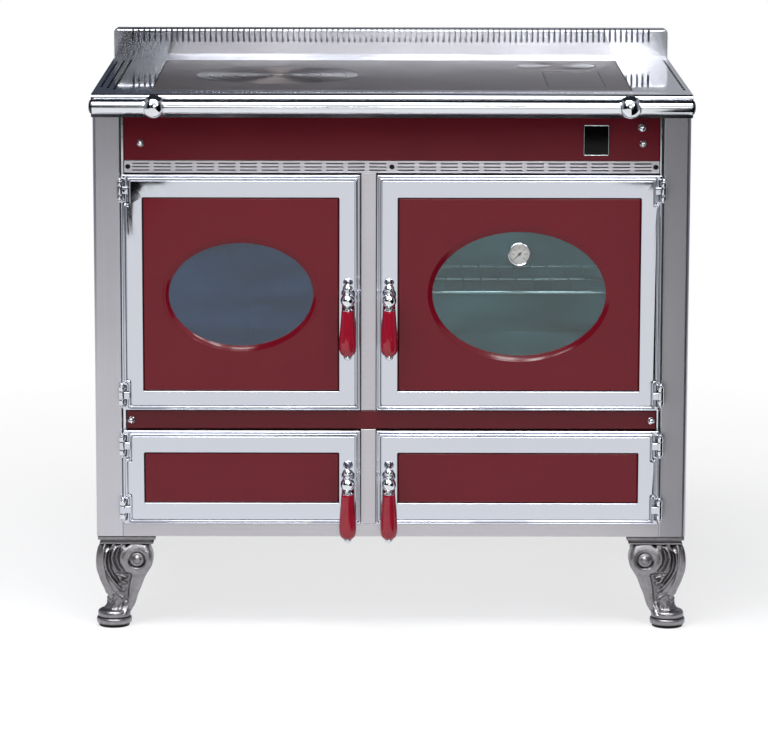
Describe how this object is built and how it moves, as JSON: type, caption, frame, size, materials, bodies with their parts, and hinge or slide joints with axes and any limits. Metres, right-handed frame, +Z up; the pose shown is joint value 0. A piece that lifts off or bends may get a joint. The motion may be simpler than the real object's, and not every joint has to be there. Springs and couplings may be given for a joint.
{
  "type": "wood cookstove",
  "caption": "Enamelled wood cookstove on cast legs: firebox and ash drawer, oven and wood store, cast top with lift-out rings, towel rail and rear flue collar.",
  "frame": {"origin": "on the floor under the centre of the whole stove, legs, towel rail and flue collar included", "axes": "+X to the right as one faces the doors, +Y from the doors to the back, +Z up"},
  "size_m": [1.005, 0.7349, 0.968],
  "materials": {
    "grip_enamel": "glossy deep red",
    "red_enamel": "gloss vitreous enamel, deep red",
    "ceramic_glass": "clear ceramic fire glass",
    "black_glass": "black backed glass",
    "rope_seal": "braided glass rope",
    "chrome": "polished bright plating",
    "antique_nickel": "antique nickel plated casting",
    "cast_iron": "ground cast iron",
    "fire_brick": "matt buff refractory brick",
    "dark_steel": "heat resistant matt dark paint",
    "needle_black": "matt black",
    "oven_steel": "plain steel oven lining",
    "brushed_steel": "brushed stainless steel"
  },
  "bodies": {
    "stove": {"ash_pan": "dark_steel", "back_panel": "dark_steel", "base_tray": "brushed_steel", "fire_grate": "cast_iron", "firebox_shell": "dark_steel", "firebrick_lining": "fire_brick", "flue_collar": "dark_steel", "front_legs": "antique_nickel", "front_plate": "dark_steel", "hinge_brackets": "chrome", "hinge_pins": "chrome", "hotplate": "cast_iron", "middle_fascia": "red_enamel", "mullion": "brushed_steel", "oven_box": "oven_steel", "oven_rack": "oven_steel", "rail_brackets": "chrome", "rail_end_caps": "chrome", "rail_tube": "chrome", "rear_legs": "antique_nickel", "side_panel_left": "brushed_steel", "side_panel_right": "brushed_steel", "tile": "black_glass", "tile_frame": "chrome", "upper_fascia": "red_enamel", "upstand": "brushed_steel", "vent_grille": "brushed_steel", "worktop": "brushed_steel"},
    "firebox_door": {"firebox_door_frame": "chrome", "firebox_door_panel": "red_enamel", "firebox_door_glass": "ceramic_glass", "firebox_door_liner": "dark_steel", "firebox_door_seal": "rope_seal"},
    "firebox_handle": {"firebox_handle_spindle": "chrome", "firebox_handle_grip": "grip_enamel"},
    "oven_door": {"oven_door_frame": "chrome", "oven_door_panel": "red_enamel", "oven_door_glass": "ceramic_glass", "oven_door_liner": "dark_steel", "oven_door_seal": "rope_seal", "oven_thermometer": "chrome"},
    "oven_handle": {"oven_handle_spindle": "chrome", "oven_handle_grip": "grip_enamel"},
    "ash_door": {"ash_door_frame": "chrome", "ash_door_panel": "red_enamel"},
    "ash_handle": {"ash_handle_spindle": "chrome", "ash_handle_grip": "grip_enamel"},
    "store_door": {"store_door_frame": "chrome", "store_door_panel": "red_enamel"},
    "store_handle": {"store_handle_spindle": "chrome", "store_handle_grip": "grip_enamel"},
    "thermometer_pointer": {"thermometer_needle": "needle_black"},
    "ring_1_body": {"ring_1": "cast_iron"},
    "ring_2_body": {"ring_2": "cast_iron"},
    "ring_3_body": {"ring_3": "cast_iron"},
    "ring_4_body": {"ring_4": "cast_iron"},
    "ring_lid_body": {"ring_lid": "cast_iron"},
    "flue_cover_body": {"flue_cover": "cast_iron"},
    "soot_lid_body": {"soot_lid": "cast_iron"},
    "flue_damper_body": {"flue_damper": "chrome"}
  },
  "joints": [
    {"name": "firebox_door_hinge", "type": "hinge", "parent": "stove", "child": "firebox_door", "pos_m": [-0.4535, -0.3135, 0.58], "axis": [0, 0, -1], "range_deg": [0, 110]},
    {"name": "firebox_handle_turn", "type": "hinge", "parent": "firebox_door", "child": "firebox_handle", "pos_m": [-0.0733, -0.3225, 0.5737], "axis": [0, 1, 0], "range_deg": [0, 90]},
    {"name": "oven_door_hinge", "type": "hinge", "parent": "stove", "child": "oven_door", "pos_m": [0.4535, -0.3135, 0.58], "axis": [0, 0, 1], "range_deg": [0, 110]},
    {"name": "oven_handle_turn", "type": "hinge", "parent": "oven_door", "child": "oven_handle", "pos_m": [-0.0041, -0.3225, 0.5737], "axis": [0, -1, 0], "range_deg": [0, 90]},
    {"name": "ash_door_hinge", "type": "hinge", "parent": "stove", "child": "ash_door", "pos_m": [-0.4535, -0.3135, 0.26485], "axis": [0, 0, -1], "range_deg": [0, 110]},
    {"name": "ash_handle_turn", "type": "hinge", "parent": "ash_door", "child": "ash_handle", "pos_m": [-0.0733, -0.3225, 0.26095], "axis": [0, 1, 0], "range_deg": [0, 90]},
    {"name": "store_door_hinge", "type": "hinge", "parent": "stove", "child": "store_door", "pos_m": [0.4535, -0.3135, 0.26485], "axis": [0, 0, 1], "range_deg": [0, 110]},
    {"name": "store_handle_turn", "type": "hinge", "parent": "store_door", "child": "store_handle", "pos_m": [-0.0041, -0.3225, 0.26095], "axis": [0, -1, 0], "range_deg": [0, 90]},
    {"name": "needle_turn", "type": "hinge", "parent": "oven_door", "child": "thermometer_pointer", "pos_m": [0.21355, -0.3175, 0.6472], "axis": [0, 1, 0], "range_deg": [0, 270]},
    {"name": "ring_1_lift", "type": "slide", "parent": "stove", "child": "ring_1_body", "axis": [0, 0, 1], "range_m": [0, 0.06]},
    {"name": "ring_2_lift", "type": "slide", "parent": "ring_1_body", "child": "ring_2_body", "axis": [0, 0, 1], "range_m": [0, 0.06]},
    {"name": "ring_3_lift", "type": "slide", "parent": "ring_2_body", "child": "ring_3_body", "axis": [0, 0, 1], "range_m": [0, 0.06]},
    {"name": "ring_4_lift", "type": "slide", "parent": "ring_3_body", "child": "ring_4_body", "axis": [0, 0, 1], "range_m": [0, 0.06]},
    {"name": "ring_lid_lift", "type": "slide", "parent": "ring_4_body", "child": "ring_lid_body", "axis": [0, 0, 1], "range_m": [0, 0.06]},
    {"name": "flue_cover_lift", "type": "slide", "parent": "stove", "child": "flue_cover_body", "axis": [0, 0, 1], "range_m": [0, 0.06]},
    {"name": "soot_lid_lift", "type": "slide", "parent": "stove", "child": "soot_lid_body", "axis": [0, 0, 1], "range_m": [0, 0.06]},
    {"name": "damper_pull", "type": "slide", "parent": "stove", "child": "flue_damper_body", "axis": [0, -1, 0], "range_m": [0, 0.06]}
  ]
}
